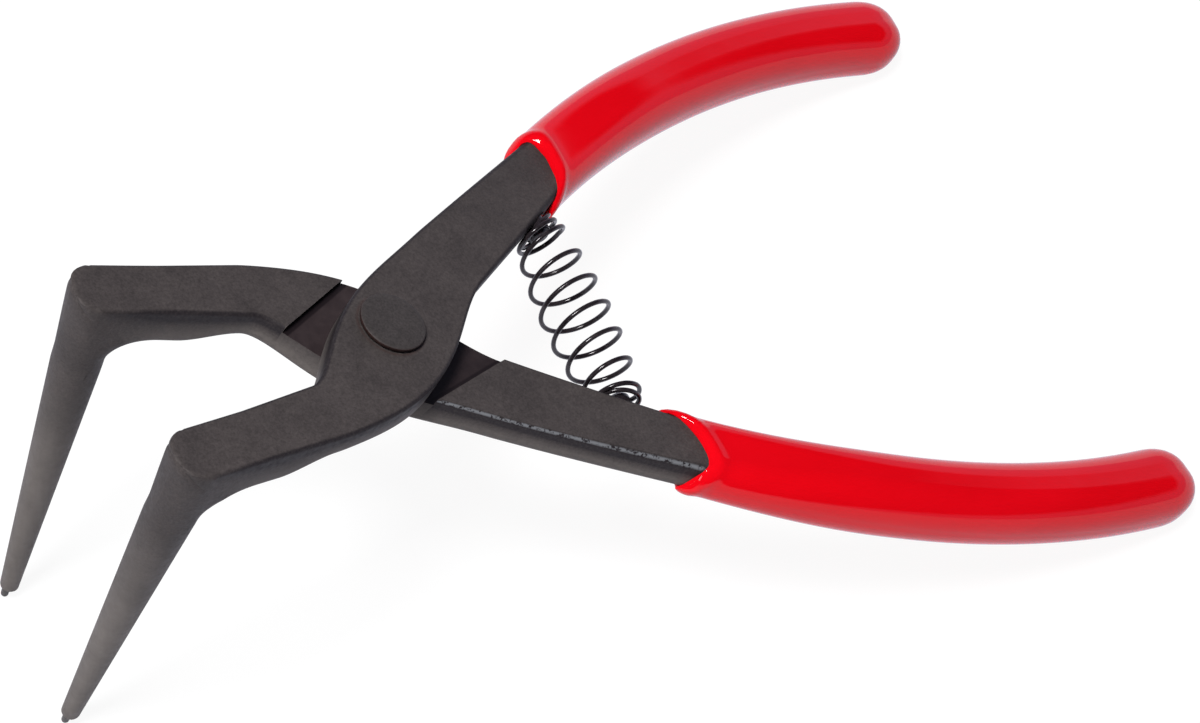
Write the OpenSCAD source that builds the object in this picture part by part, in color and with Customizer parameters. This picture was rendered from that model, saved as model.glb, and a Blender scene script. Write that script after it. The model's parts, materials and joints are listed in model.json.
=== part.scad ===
// Internal circlip pliers with long bent legs: two crossed levers on a rivet, dipped grips and a return spring.
// Tool axes: the pivot is Z, X runs to the handles, and Z = 0 is the lap face between the two levers.
// The finished tool is then stood on its two tip pins and its two grip ends.

/* [Levers] */
// Half of the opening angle between the straight arms
handle_angle = 29.5; // [27:0.5:32]
// Distance of each arm's middle line from the pivot
arm_offset = 1.1; // [0.6:0.1:2]
// Length of the straight arm, from the pivot to the start of the curved handle
arm_len = 57; // [53:1:60]
// Distance from the pivot at which the arm begins
arm_root = 22; // [20:0.5:26]
// Width of the arm where it leaves the joint
arm_root_w = 13; // [12:0.5:14]
// Width of the arm at the mouth of the grip
arm_mouth_w = 10.2; // [9:0.2:10.8]
// Thickness of the arm
arm_t = 6.8; // [6:0.2:7.4]
// Length over which the two arms come to one level
level_len = 75; // [64:1:84]
// Radius of the curved handle
handle_r = 175; // [140:5:220]
// Length of the curved steel inside the grip
handle_curve = 88; // [70:1:92]
// Width of the joint across the pivot
joint_w = 18.2; // [16:0.2:19]
// Thickness of the front lever at the joint
front_t = 5.8; // [5.4:0.2:6.6]
// Thickness of the rear lever beside the lap
rear_t = 6; // [5.4:0.2:7]
// Depth of the lap cut into the rear lever
lap_depth = 1.2; // [0.9:0.1:1.6]
// Radius along the upper edges of the levers
edge_r = 0.7; // [0.4:0.1:1.2]
// Radius along the lower edges of the levers
under_r = 2; // [1:0.1:2.6]

/* [Jaws and legs] */
// Angle between each jaw and the tool's middle line
jaw_angle = 8.5; // [5:0.5:12]
// Distance of each jaw's middle line from the pivot
jaw_offset = 10.5; // [9:0.1:12]
// Distance from the pivot at which the jaw begins
jaw_root = 20; // [18:0.5:24]
// Width of the jaw where it leaves the joint
jaw_root_w = 10; // [9:0.2:12]
// Width of the jaw at the bend
jaw_w = 8.6; // [7.6:0.2:9.6]
// Thickness of the jaw
jaw_t = 8.2; // [7.6:0.2:9.4]
// Distance from the pivot to the middle of the front lever's bent leg
jaw_len = 45.5; // [41:0.5:52]
// Inner radius of the bend
bend_r = 5; // [3:0.5:7]
// Depth of the leg ends below the front lever's face
leg_drop = 81.5; // [60:0.5:90]
// Radius of the leg at the jaw
leg_root_r = 4.6; // [4.2:0.1:5.2]
// Radius of the leg at its end
leg_tip_r = 1.5; // [1.3:0.1:2]
// How far the leg end leans back towards the handles
leg_back = 14; // [0:0.5:18]
// How far the leg end leans in towards the other leg
leg_in = 2.5; // [0:0.5:4]
// Radius of the tip pin
pin_r = 0.65; // [0.5:0.05:0.9]
// Length of the tip pin beyond the leg end
pin_out = 2; // [1.4:0.1:3]
// Depth of the tip pin's hole in the leg
pin_in = 5; // [3:0.5:7]
// How far the tip pin sits towards the front of the leg end
pin_shift = 0.4; // [0:0.05:0.5]

/* [Pivot] */
// Radius of the rivet's shank
rivet_r = 3.5; // [3:0.1:4]
// Radius of the rivet's front head
head_r = 5.5; // [5:0.1:6.2]
// Height of the rivet's heads
head_h = 1.1; // [0.8:0.1:1.6]
// Radius of the rivet's rear head
rear_head_r = 5; // [4.6:0.1:6]
// Angle of the shoulder on the jaw side of the lap
jaw_shoulder_angle = 27; // [26:0.5:29]
// Distance of that shoulder from the pivot
jaw_shoulder = 11.4; // [11:0.1:12.4]
// Angle of the shoulder on the handle side of the lap
arm_shoulder_angle = 18.5; // [17:0.5:21]
// Distance of that shoulder from the pivot
arm_shoulder = 12.7; // [12.2:0.1:13.6]

/* [Grips] */
// Distance from the pivot to the middle of the grip's mouth, along the arm
grip_at = 54.5; // [54:0.5:58]
// Length of the grip from its mouth to its end
grip_len = 103.5; // [98:0.5:114]
// Width of the grip at its middle
grip_w = 13.4; // [13:0.2:15]
// Width of the grip at its mouth
grip_mouth_w = 12.8; // [12.4:0.2:14]
// Thickness of the grip
grip_t = 12; // [11.2:0.2:13]
// How far the mouth reaches forward along the arm's two edges
mouth_bow = 2.5; // [1:0.5:3]
// Tilt of the mouth, which leads on the underside
mouth_tilt = 20; // [0:1:24]

/* [Spring] */
// Distance from the pivot to the spring's seat, along the arm
seat_at = 43.5; // [42:0.5:43.5]
// Thickness of the spring wire
wire_d = 0.8; // [0.7:0.1:1]
// Outer diameter of the end coils
coil_end_d = 7; // [6.6:0.1:8]
// Outer diameter of the middle coils
coil_mid_d = 12; // [10:0.2:13]
// Number of coils
coils = 10; // [8:1:11]
// Radius of the pegs that hold the spring
peg_r = 2.2; // [1.8:0.1:2.3]
// Length of the pegs outside the arm
peg_out = 2.6; // [2:0.2:3.4]
// Depth of the pegs' holes in the arm
peg_in = 4; // [3:0.5:5]

/* [Clearances] */
// Gap between faces that turn against each other
turn_gap = 0.1; // [0.05:0.05:0.2]
// Radial clearance of the front lever on the rivet
pivot_clear = 0.05; // [0.02:0.01:0.08]
// Radial clearance of the pins and pegs in their holes
set_clear = 0.02; // [0.01:0.01:0.05]
// Gap between a grip and the steel inside it
grip_clear = 0.1; // [0.05:0.05:0.2]
// Gap between the ends of the spring and the arms
seat_gap = 0.3; // [0.2:0.05:0.5]

/* [Hidden] */

steel = [0.28, 0.265, 0.26];
red = [0.88, 0.04, 0.05];
wire = [0.16, 0.15, 0.16];

// Tang of the tip pins as a share of their radius, and the level of their shoulder above the leg's end
tang_share = 0.7;
tang_r = tang_share * pin_r;
pin_seat = 0.1;

// Levels of the two levers
front_face = front_t;
front_under = turn_gap;
rear_face = lap_depth;
rear_under = lap_depth - rear_t;
tip_z = front_face - leg_drop;
grip_z = (front_face + front_under + rear_face + rear_under) / 4;

// Pull of the curve through the joint towards each of its ends
arm_pull = 14;
jaw_pull = 10;

// Share of the lower edge radius that goes at the middle of the joint
under_loss = 0.7;
corner_steps = 4;

// Corner radius of the round sections and of the grips, as a share of their half size
round_share = 0.94;
grip_round = 0.88;

function dir(a) = [cos(a), sin(a)];
function nrm(a) = [-sin(a), cos(a)];
function mix(a, b, t) = a + (b - a) * t;
function smooth(t) = let (u = min(max(t, 0), 1)) u * u * (3 - 2 * u);
function bump(t) = 16 * t * t * (1 - t) * (1 - t);
function bezier(p, t) =
    pow(1 - t, 3) * p[0] + 3 * t * pow(1 - t, 2) * p[1] + 3 * t * t * (1 - t) * p[2] + pow(t, 3) * p[3];
function bezier_slope(p, t) =
    3 * (pow(1 - t, 2) * (p[1] - p[0]) + 2 * t * (1 - t) * (p[2] - p[1]) + t * t * (p[3] - p[2]));
function in_space(p, z) = [p[0], p[1], z];

// Middle line of the handle: a straight arm, then an arc that turns back towards the tool's middle line
function handle_turn(s) = max(s - arm_len, 0) / handle_r * 180 / PI;
function handle_heading(s) = handle_angle - handle_turn(s);
function arm_point(s) = s * dir(handle_angle) + arm_offset * nrm(handle_angle);
function handle_point(s) = s <= arm_len ? arm_point(s)
    : arm_point(arm_len) - handle_r * nrm(handle_angle) + handle_r * nrm(handle_heading(s));
function jaw_point(q) = -q * dir(jaw_angle) - jaw_offset * nrm(jaw_angle);

// One section is [origin, up, side, low, high, half width, low corner radius, high corner radius]
function corner(s, k, low) =
    let (a = 90 * k / corner_steps, r = low ? s[6] : s[7])
    low ? [s[5] - r + r * sin(a), s[3] + r - r * cos(a)] : [s[5] - r + r * cos(a), s[4] - r + r * sin(a)];
function half_ring(s) = concat([for (k = [0:corner_steps]) corner(s, k, true)],
                               [for (k = [0:corner_steps]) corner(s, k, false)]);
function ring(s) =
    let (half = half_ring(s), n = len(half))
    concat([for (p = half) s[0] + p[0] * s[2] + p[1] * s[1]],
           [for (i = [n - 1:-1:0]) s[0] - half[i][0] * s[2] + half[i][1] * s[1]]);
function flat_section(p, heading, low, high, w, low_r, high_r) =
    [in_space(p, 0), [0, 0, 1], in_space(-nrm(heading), 0), low, high, w, low_r, high_r];

// Skin over a row of rings that all have the same number of points
module loft(rings) {
    n = len(rings[0]);
    last = len(rings) - 1;
    points = [for (r = rings) each r];
    sides = [for (i = [0:last - 1], j = [0:n - 1])
        let (a = i * n + j, b = i * n + (j + 1) % n)
        each [[a, a + n, b], [b, a + n, b + n]]];
    caps = [[for (j = [0:n - 1]) j], [for (j = [n - 1:-1:0]) last * n + j]];
    polyhedron(points = points, faces = concat(sides, caps));
}

// Steel of a handle at the distance s from the pivot, grown by a gap for the grip's hollow
function arm_width(s) = s < arm_root ? arm_root_w
    : mix(arm_root_w, arm_mouth_w, min((s - arm_root) / (grip_at - arm_root), 1));
mouth_reach = mouth_bow + grip_mouth_w / 2 * tan(handle_angle) + grip_t / 2 * tan(mouth_tilt);
function level_share(s) = smooth((s - arm_root) / level_len);
function arm_high(s, face) = mix(face, grip_z + arm_t / 2, level_share(s));
function arm_low(s, under) = mix(under, grip_z - arm_t / 2, level_share(s));
function arm_mid(s, face, under) = (arm_high(s, face) + arm_low(s, under)) / 2;
function arm_section(s, face, under, grow) =
    flat_section(handle_point(s), handle_heading(s), arm_low(s, under) - grow, arm_high(s, face) + grow,
                 arm_width(s) / 2 + grow, under_r + grow, mix(edge_r, under_r, level_share(s)) + grow);
core_end = arm_len + handle_curve;

// Curve through the joint from the arm to the jaw
joint_path = let (a = handle_point(arm_root), b = jaw_point(jaw_root))
    [a, a - arm_pull * dir(handle_angle), b + jaw_pull * dir(jaw_angle), b];
arm_taper = (arm_root_w - arm_mouth_w) / 2 / (grip_at - arm_root);
jaw_taper = (jaw_root_w - jaw_w) / 2 / (jaw_len - jaw_root);
joint_widths = [arm_root_w / 2, arm_root_w / 2 + arm_taper * arm_pull,
                jaw_root_w / 2 + jaw_taper * jaw_pull, jaw_root_w / 2];
joint_swell = joint_w / 2 - bezier(joint_widths, 0.5);
function joint_section(t, face, under) =
    let (slope = bezier_slope(joint_path, t))
    flat_section(bezier(joint_path, t), atan2(-slope[1], -slope[0]), under, face,
                 bezier(joint_widths, t) + joint_swell * bump(t), under_r * (1 - under_loss * bump(t)), edge_r);

// Jaw, with its underside dropping to the full thickness soon after the joint
jaw_drop = 10;
function jaw_low(q, face, under) = mix(under, face - jaw_t, smooth((q - jaw_root) / jaw_drop));
function jaw_half(q) = jaw_root_w / 2 - jaw_taper * (q - jaw_root);
function jaw_section(q, face, under) =
    flat_section(jaw_point(q), jaw_angle, jaw_low(q, face, under), face, jaw_half(q), under_r, edge_r);

// Leg: the two legs lean back along one line, seen from the side, from where their faces cross it
leg_slope = leg_back / leg_drop;
function leg_len(face) = face - tip_z;
function bend_at(face) = jaw_len - leg_slope * (front_face - face);
function leg_inset(face) = leg_in / leg_len(face);
function leg_radius(face, depth) = mix(leg_root_r, leg_tip_r, depth / leg_len(face));
function leg_centre(face, depth) =
    in_space(jaw_point(bend_at(face) - leg_slope * depth) + leg_inset(face) * depth * nrm(jaw_angle), face - depth);
function leg_way(face) =
    let (v = leg_centre(face, leg_len(face)) - leg_centre(face, 0)) v / norm(v);

// Bend: sections that fan about the inner fillet, under the flat face first and down the leg's front after it,
// with a soft nose where the two meet
function fan_centre(face) =
    let (depth = jaw_t + bend_r)
    [bend_at(face) - leg_slope * depth - leg_radius(face, depth) - bend_r, face - depth];
nose_power = 20;
function fan_reach(face, angle) =
    let (c = fan_centre(face), rise = face - c[1], run = bend_at(face) + leg_root_r - c[0],
         lean = leg_slope + (leg_root_r - leg_tip_r) / leg_len(face),
         to_face = max(cos(angle), 0) / rise,
         to_front = max(sin(angle) - lean * cos(angle), 0) / (run - lean * rise))
    pow(pow(to_face, nose_power) + pow(to_front, nose_power), -1 / nose_power);
function fan_section(face, angle, plan_angle, w) =
    let (c = fan_centre(face), reach = fan_reach(face, angle),
         depth = max(face - c[1] - (bend_r + reach) / 2 * cos(angle), 0),
         base = jaw_point(c[0]) + leg_inset(face) * depth * sin(angle) * nrm(jaw_angle),
         way = in_space(-dir(jaw_angle), 0),
         high_r = min(max(edge_r, w * (1 - cos(plan_angle))), round_share * w),
         low_r = mix(under_r, round_share * w, smooth(angle / 90)))
    [in_space(base, c[1]), sin(angle) * way + cos(angle) * [0, 0, 1], in_space(-nrm(jaw_angle), 0),
     bend_r, reach, w, low_r, high_r];
fan_steps = 4;
plan_steps = 6;
front_steps = 6;
function fan_sections(face) =
    let (c = fan_centre(face), rise = face - c[1], lean = atan(leg_slope),
         axis_angle = atan2(bend_at(face) - c[0], rise),
         corner_angle = atan2(bend_at(face) + leg_root_r - c[0], rise))
    concat(
        [for (i = [0:fan_steps - 1])
            let (t = i / fan_steps) fan_section(face, axis_angle * t, 0, mix(jaw_half(c[0]), leg_root_r, t))],
        [for (i = [0:plan_steps])
            let (b = 90 * i / plan_steps, q = bend_at(face) + leg_root_r * sin(b))
            fan_section(face, atan2(q - c[0], rise), b, leg_root_r)],
        [for (i = [1:front_steps])
            let (a = mix(corner_angle, 90 + lean, i / front_steps))
            fan_section(face, a, 90, mix(leg_root_r, leg_radius(face, jaw_t + bend_r), i / front_steps))]);
leg_steps = 6;
leg_end_r = 0.3;
function leg_section(face, depth, r) =
    let (way = leg_way(face), side = in_space(-nrm(jaw_angle), 0), front = cross(way, side))
    [leg_centre(face, depth), front / norm(front), side, -r, r, r, round_share * r, round_share * r];
function leg_sections(face) =
    let (start = jaw_t + bend_r + leg_root_r, end = leg_len(face) - leg_end_r)
    concat([for (i = [0:leg_steps])
                let (d = mix(start, end, i / leg_steps)) leg_section(face, d, leg_radius(face, d))],
           [leg_section(face, leg_len(face), leg_tip_r - leg_end_r)]);

arm_steps = 6;
curve_steps = 10;
joint_steps = 22;
jaw_steps = 6;
module lever_blank(face, under) {
    bend_q = fan_centre(face)[0];
    sections = concat(
        [for (i = [0:curve_steps - 1]) arm_section(mix(core_end, arm_len, i / curve_steps), face, under, 0)],
        [for (i = [0:arm_steps - 1]) arm_section(mix(arm_len, arm_root, i / arm_steps), face, under, 0)],
        [for (i = [0:joint_steps - 1]) joint_section(i / joint_steps, face, under)],
        [for (i = [0:jaw_steps - 1]) jaw_section(mix(jaw_root, bend_q, i / jaw_steps), face, under)],
        fan_sections(face),
        leg_sections(face));
    loft([for (s = sections) ring(s)]);
}

// A thing on a leg's end, along the leg and a little to its front
module at_leg_end(face) {
    way = leg_way(face);
    translate(leg_centre(face, leg_len(face)) - pin_shift * in_space(dir(jaw_angle), 0))
        rotate([0, acos(way[2]), atan2(way[1], way[0])])
            children();
}

// Seat of the spring on an arm's inner edge, with its axis straight across the tool
seat_point = handle_point(seat_at) - arm_width(seat_at) / 2 * nrm(handle_angle);
module at_seat(face, under) {
    translate([seat_point[0], seat_point[1], arm_mid(seat_at, face, under)])
        rotate([90, 0, 0])
            children();
}

module lever_holes(face, under, bore_r) {
    translate([0, 0, rear_under - front_t])
        cylinder(h = 3 * front_t + rear_t, r = bore_r, $fn = 64);
    at_seat(face, under)
        translate([0, 0, -peg_in - set_clear])
            cylinder(h = 2 * peg_in, r = peg_r + set_clear, $fn = 48);
    at_leg_end(face)
        translate([0, 0, -pin_in - set_clear])
            cylinder(h = 2 * pin_in, r = tang_r + set_clear, $fn = 32);
}

module front_lever() {
    color(steel)
        difference() {
            lever_blank(front_face, front_under);
            lever_holes(front_face, front_under, rivet_r + pivot_clear);
        }
}

// Space that the lap leaves free above the rear lever, between its two shoulders
module lap_space() {
    span = 4 * jaw_len;
    intersection() {
        rotate(jaw_shoulder_angle)
            translate([-span / 2, -span, 0])
                cube([span, span + jaw_shoulder, span]);
        rotate(arm_shoulder_angle)
            translate([-span / 2, -arm_shoulder, 0])
                cube([span, span + arm_shoulder, span]);
    }
}

module rear_lever() {
    color(steel)
        difference() {
            mirror([0, 1, 0])
                difference() {
                    lever_blank(rear_face, rear_under);
                    lever_holes(rear_face, rear_under, rivet_r + set_clear);
                }
            lap_space();
        }
}

// Rivet with a raised, lightly undercut head in front and a plain head behind
module pivot_rivet() {
    seat = front_face + turn_gap;
    bevel = head_h / 4;
    color(steel)
        rotate_extrude($fn = 72)
            polygon([[0, rear_under - head_h], [rear_head_r - bevel, rear_under - head_h],
                     [rear_head_r, rear_under - head_h + bevel], [rear_head_r, rear_under],
                     [rivet_r, rear_under], [rivet_r, seat], [head_r - bevel, seat], [head_r, seat + bevel],
                     [head_r, seat + head_h - bevel], [head_r - bevel, seat + head_h], [0, seat + head_h]]);
}

// Dipped grip: a soft rounded sleeve along the handle, with a mouth cut square to the tool and a round end
grip_end = grip_at + grip_len;
lip = 1.2;
bow_power = 4;
function grip_share(s) = smooth((s - grip_at) / (grip_len / 3));
function grip_half(s) = mix(grip_mouth_w, grip_w, grip_share(s)) / 2;
function slanted(section, heading, share) =
    [for (p = ring(section))
        let (inward = (p - section[0]) * section[2], side = inward / section[5],
             below = (section[3] + section[4]) / 2 - p[2],
             lead = inward * tan(handle_angle) + below * tan(mouth_tilt) + mouth_bow * pow(abs(side), bow_power))
        p - share * lead * in_space(dir(heading), 0)];
function grip_ring(level, s, inset, shrink, share) =
    let (w = grip_half(s) * shrink - inset, h = grip_t / 2 * shrink - inset, r = grip_round * h,
         a = handle_heading(s), z = arm_mid(s, level[0], level[1]))
    slanted(flat_section(handle_point(s), a, z - h, z + h, w, r, r), a, share);
grip_steps = 14;
lip_steps = 3;
end_steps = 7;
end_turn = 86;
mouth_fade = 30;
module grip(face, under) {
    level = [face, under];
    end_r = grip_w / 2;
    body_start = grip_at + lip;
    body_end = grip_end - end_r;
    difference() {
        loft(concat(
            [for (i = [end_steps:-1:1])
                let (a = end_turn * i / end_steps) grip_ring(level, body_end + end_r * sin(a), 0, cos(a), 0)],
            [for (i = [0:grip_steps])
                let (t = i / grip_steps, s = mix(body_end, body_start, t))
                grip_ring(level, s, 0, 1, smooth(1 - (s - body_start) / mouth_fade))],
            [for (i = [1:lip_steps])
                let (a = 90 * i / lip_steps)
                grip_ring(level, body_start - lip * sin(a), lip * (1 - cos(a)), 1, 1)]));
        loft([for (i = [0:curve_steps + arm_steps])
            let (s = mix(core_end + grip_clear, grip_at - 2 * mouth_reach, i / (curve_steps + arm_steps)))
            ring(arm_section(s, face, under, grip_clear))]);
    }
}

module front_grip() {
    color(red)
        grip(front_face, front_under);
}

module rear_grip() {
    color(red)
        mirror([0, 1, 0])
            grip(rear_face, rear_under);
}

// Barrel shaped return spring between the seats, with close coils at both ends that lie along the arms' edges
edge_slope = tan(handle_angle + atan(arm_taper));
spring_half = seat_point[1] - (seat_gap + wire_d / 2) * sqrt(1 + edge_slope * edge_slope);
coil_points = 16;
wire_points = 6;
close_share = 0.2;
close_pitch = 1.1 * wire_d;
close_rise = close_share * coils * close_pitch;
barrel_power = 1.5;
function coil_rise(t) =
    t < close_share ? mix(-spring_half, close_rise - spring_half, t / close_share)
    : t > 1 - close_share ? mix(spring_half - close_rise, spring_half, (t - 1 + close_share) / close_share)
    : mix(close_rise - spring_half, spring_half - close_rise, (t - close_share) / (1 - 2 * close_share));
function coil_level(t) = mix(arm_mid(seat_at, rear_face, rear_under), arm_mid(seat_at, front_face, front_under),
                             (1 + coil_rise(t) / spring_half) / 2);
function coil_radius(t) =
    (mix(coil_end_d, coil_mid_d, pow(sin(180 * t), barrel_power)) - wire_d) / 2;
function coil_tilt(t) = let (u = 2 * t - 1) edge_slope * u * u * u;
function wire_ring(t) =
    let (turn = -360 * coils * t, out = [cos(turn), coil_tilt(t) * cos(turn), sin(turn)])
    [for (k = [0:wire_points - 1])
        let (a = 360 * k / wire_points)
        [seat_point[0], coil_rise(t), coil_level(t)] + coil_radius(t) * out
            + wire_d / 2 * (cos(a) * out + sin(a) * [0, 1, 0])];
module return_spring() {
    count = coils * coil_points;
    color(wire)
        loft([for (i = [0:count]) wire_ring(i / count)]);
}

// Peg set in the arm's inner edge, with a bevelled end inside the spring
module peg(face, under) {
    bevel = peg_r / 3;
    color(steel)
        at_seat(face, under)
            rotate_extrude($fn = 48)
                polygon([[0, -peg_in], [peg_r, -peg_in], [peg_r, peg_out - bevel], [peg_r - bevel, peg_out],
                         [0, peg_out]]);
}

module front_spring_peg() {
    peg(front_face, front_under);
}

module rear_spring_peg() {
    mirror([0, 1, 0])
        peg(rear_face, rear_under);
}

// Pin set in a leg's end by a thinner tang, with a rounded tip that enters a ring's lug hole
module tip_pin(face) {
    round_steps = 6;
    color(steel)
        at_leg_end(face)
            rotate_extrude($fn = 32)
                polygon(concat(
                    [[0, -pin_in], [tang_r, -pin_in], [tang_r, pin_seat], [pin_r, pin_seat]],
                    [for (i = [0:round_steps])
                        let (a = 90 * i / round_steps) [pin_r * cos(a), pin_out - pin_r + pin_r * sin(a)]]));
}

module front_tip_pin() {
    tip_pin(front_face);
}

module rear_tip_pin() {
    mirror([0, 1, 0])
        tip_pin(rear_face);
}

// Standing place: the tip pins and the grip ends rest on Z = 0, with the tool's middle over the origin
function end_reach(a) = norm([grip_w / 2 * cos(a), grip_t / 2 * sin(a)]);
pin_centre = leg_centre(front_face, leg_len(front_face)) - pin_shift * in_space(dir(jaw_angle), 0)
    + (pin_out - pin_r) * leg_way(front_face);
rest_span = in_space(handle_point(grip_end - grip_w / 2), grip_z) - pin_centre;
function rest_angle(a, rounds) = rounds < 1 ? a
    : rest_angle(atan2(rest_span[2], rest_span[0])
                 - asin((end_reach(90 - a) - pin_r) / norm([rest_span[0], rest_span[2]])), rounds - 1);
first_angle = 20;
angle_rounds = 4;
stand_angle = rest_angle(first_angle, angle_rounds);
stand_drop = sin(stand_angle) * pin_centre[0] - cos(stand_angle) * pin_centre[2] + pin_r;
function stood_x(p) = cos(stand_angle) * p[0] + sin(stand_angle) * p[2];
leg_end = leg_centre(front_face, leg_len(front_face) - leg_end_r);
back_end = stood_x(leg_end) - leg_tip_r * cos(stand_angle - atan(leg_slope));
front_end = stood_x(rest_span + pin_centre) + end_reach(stand_angle);
module standing() {
    translate([-(back_end + front_end) / 2, 0, stand_drop])
        rotate([0, stand_angle, 0])
            children();
}

standing() front_lever();
standing() rear_lever();
standing() pivot_rivet();
standing() front_grip();
standing() rear_grip();
standing() return_spring();
standing() front_spring_peg();
standing() rear_spring_peg();
standing() front_tip_pin();
standing() rear_tip_pin();
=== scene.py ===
import json
from math import acos, atan, atan2, cos, degrees, exp, pi, radians, sin, sqrt, tan

import bmesh
import bpy
import numpy as np
from mathutils import Matrix, Vector


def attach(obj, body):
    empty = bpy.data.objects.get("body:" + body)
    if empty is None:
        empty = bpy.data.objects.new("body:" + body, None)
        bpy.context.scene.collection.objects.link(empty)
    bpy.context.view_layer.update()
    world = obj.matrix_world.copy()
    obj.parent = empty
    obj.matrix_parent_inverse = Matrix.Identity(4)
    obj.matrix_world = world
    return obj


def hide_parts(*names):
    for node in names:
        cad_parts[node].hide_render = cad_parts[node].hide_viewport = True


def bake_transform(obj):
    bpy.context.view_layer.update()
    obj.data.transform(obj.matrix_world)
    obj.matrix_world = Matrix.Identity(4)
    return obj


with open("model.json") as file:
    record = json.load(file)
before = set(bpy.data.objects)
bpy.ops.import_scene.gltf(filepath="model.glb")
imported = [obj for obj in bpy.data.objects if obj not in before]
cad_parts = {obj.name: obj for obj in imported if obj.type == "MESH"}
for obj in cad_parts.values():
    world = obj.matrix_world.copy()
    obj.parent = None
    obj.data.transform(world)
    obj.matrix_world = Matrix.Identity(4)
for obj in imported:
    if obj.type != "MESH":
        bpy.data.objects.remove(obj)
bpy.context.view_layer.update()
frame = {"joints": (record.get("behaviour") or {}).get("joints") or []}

MM = 0.001

# Tool axes from the hinge: the pivot is Z, X runs to the handles, and the lap face is at Z = 0
hinge = frame["joints"][0]
tool_z = -Vector(hinge["axis"]).normalized()
tool_y = Vector((0, 1, 0))
tool_x = tool_y.cross(tool_z)
tool = Matrix((tool_x, tool_y, tool_z)).transposed().to_4x4()
tool.translation = Vector(hinge["pos_m"])

# Sizes of the source, in millimetres, degrees and shares
HANDLE_ANGLE = 29.5
ARM_OFFSET = 1.1
ARM_LEN = 57
ARM_ROOT = 22
ARM_ROOT_W = 13
ARM_MOUTH_W = 10.2
ARM_T = 6.8
LEVEL_LEN = 75
HANDLE_R = 175
HANDLE_CURVE = 88
JOINT_W = 18.2
FRONT_T = 5.8
REAR_T = 6
LAP_DEPTH = 1.2
EDGE_R = 0.7
UNDER_R = 2
JAW_ANGLE = 8.5
JAW_OFFSET = 10.5
JAW_ROOT = 20
JAW_ROOT_W = 10
JAW_W = 8.6
JAW_T = 8.2
JAW_LEN = 45.5
JAW_DROP = 10
BEND_R = 5
LEG_DROP = 81.5
LEG_ROOT_R = 4.6
LEG_TIP_R = 1.5
LEG_BACK = 14
LEG_IN = 2.5
PIN_R = 0.65
PIN_OUT = 2
PIN_IN = 5
PIN_SHIFT = 0.4
TANG_SHARE = 0.7
RIVET_R = 3.5
HEAD_R = 5.5
HEAD_H = 1.1
REAR_HEAD_R = 5
JAW_SHOULDER_ANGLE = 27
JAW_SHOULDER = 11.4
ARM_SHOULDER_ANGLE = 18.5
ARM_SHOULDER = 12.7
GRIP_AT = 54.5
GRIP_LEN = 103.5
GRIP_W = 13.4
GRIP_MOUTH_W = 12.8
GRIP_T = 12
MOUTH_BOW = 2.5
MOUTH_TILT = 20
MOUTH_FADE = 30
LIP = 1.2
SEAT_AT = 43.5
WIRE_D = 0.8
COIL_END_D = 7
COIL_MID_D = 12
COILS = 10
PEG_R = 2.2
PEG_OUT = 2.6
PEG_IN = 4
TURN_GAP = 0.1
PIVOT_CLEAR = 0.05
SET_CLEAR = 0.02
GRIP_CLEAR = 0.1
SEAT_GAP = 0.3
ARM_PULL = 14
JAW_PULL = 10
ROUND_SHARE = 0.94
GRIP_ROUND = 0.88
CLOSE_SHARE = 0.2
CLOSE_PITCH = 1.1 * WIRE_D
BARREL_POWER = 1.5
UNDER_LOSS = 0.7

# Finer forms of the looks, in millimetres, degrees and shares
SWELL_POWER = 2.5
NOSE_POWER = 26
NOSE_LIMIT = acos(1 - ROUND_SHARE)
EASE_LIMIT = 0.9
LEG_END_R = 0.4
PIN_BARE = 0.8
PIN_SEAT = 0.1
GRIP_MOUTH_T = 8.7
MOUTH_RUN = GRIP_LEN / 3
BOW_POWER = 2.5
LIP_SQUARE = 1.5
BEAD = 0.25
BEAD_LEN = 1.3
DOME_LEN = 9
DOME_POWER = 2.4
CROWN = 0.12
CROWN_SHARE = 0.86
CROWN_FALL = 0.02
RIVET_ROUND = 0.28
PEG_ROUND = 0.25
ROUND_LIMIT = 0.45
AXIS_R = 0.01
CREASE = 38
TURNED_CREASE = 50
PIN_CREASE = 40

# Rows and points of the meshes
CORNER_STEPS = 7
SUPPORT = 0.25
FLAT_SHARES = (0.15, 0.45, 0.75, 1)
FLAT_LEAST = 0.3
WALL_SHARES = (0.35, 0.65)
NOSE_POINTS = 30
EASE_POINTS = 9
ARM_ROWS = 48
JOINT_ROWS = 60
JAW_ROWS = 20
BEND_ROWS = 8
BEND_SPACING = 1.7
LEG_ROWS = 24
LEG_END_ROWS = 4
GRIP_ROWS = 48
GRIP_SPACING = 1.8
DOME_TURNS = np.linspace(1.555, 0.05, 20)
LIP_TURNS = np.radians(np.linspace(15, 90, 7))
CORE_ROWS = 40
ROUND_STEPS = 5
RIVET_SEGMENTS = 128
HOLE_SEGMENTS = 64
PIN_SEGMENTS = 48
PIN_TURNS = np.radians(np.linspace(0, 88, 9))
WIRE_STEPS = 44
WIRE_SIDES = 12

# Levels and slopes that follow from the sizes
FRONT_FACE = FRONT_T
FRONT_UNDER = TURN_GAP
REAR_FACE = LAP_DEPTH
REAR_UNDER = LAP_DEPTH - REAR_T
TIP_Z = FRONT_FACE - LEG_DROP
GRIP_Z = (FRONT_FACE + FRONT_UNDER + REAR_FACE + REAR_UNDER) / 4
GRIP_END = GRIP_AT + GRIP_LEN
MOUTH_REACH = (MOUTH_BOW + GRIP_MOUTH_W / 2 * tan(radians(HANDLE_ANGLE))
               + GRIP_T / 2 * tan(radians(MOUTH_TILT)))
ARM_TAPER = (ARM_ROOT_W - ARM_MOUTH_W) / 2 / (GRIP_AT - ARM_ROOT)
JAW_TAPER = (JAW_ROOT_W - JAW_W) / 2 / (JAW_LEN - JAW_ROOT)
TANG_R = TANG_SHARE * PIN_R
UP = np.array([0.0, 0.0, 1.0])


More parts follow.
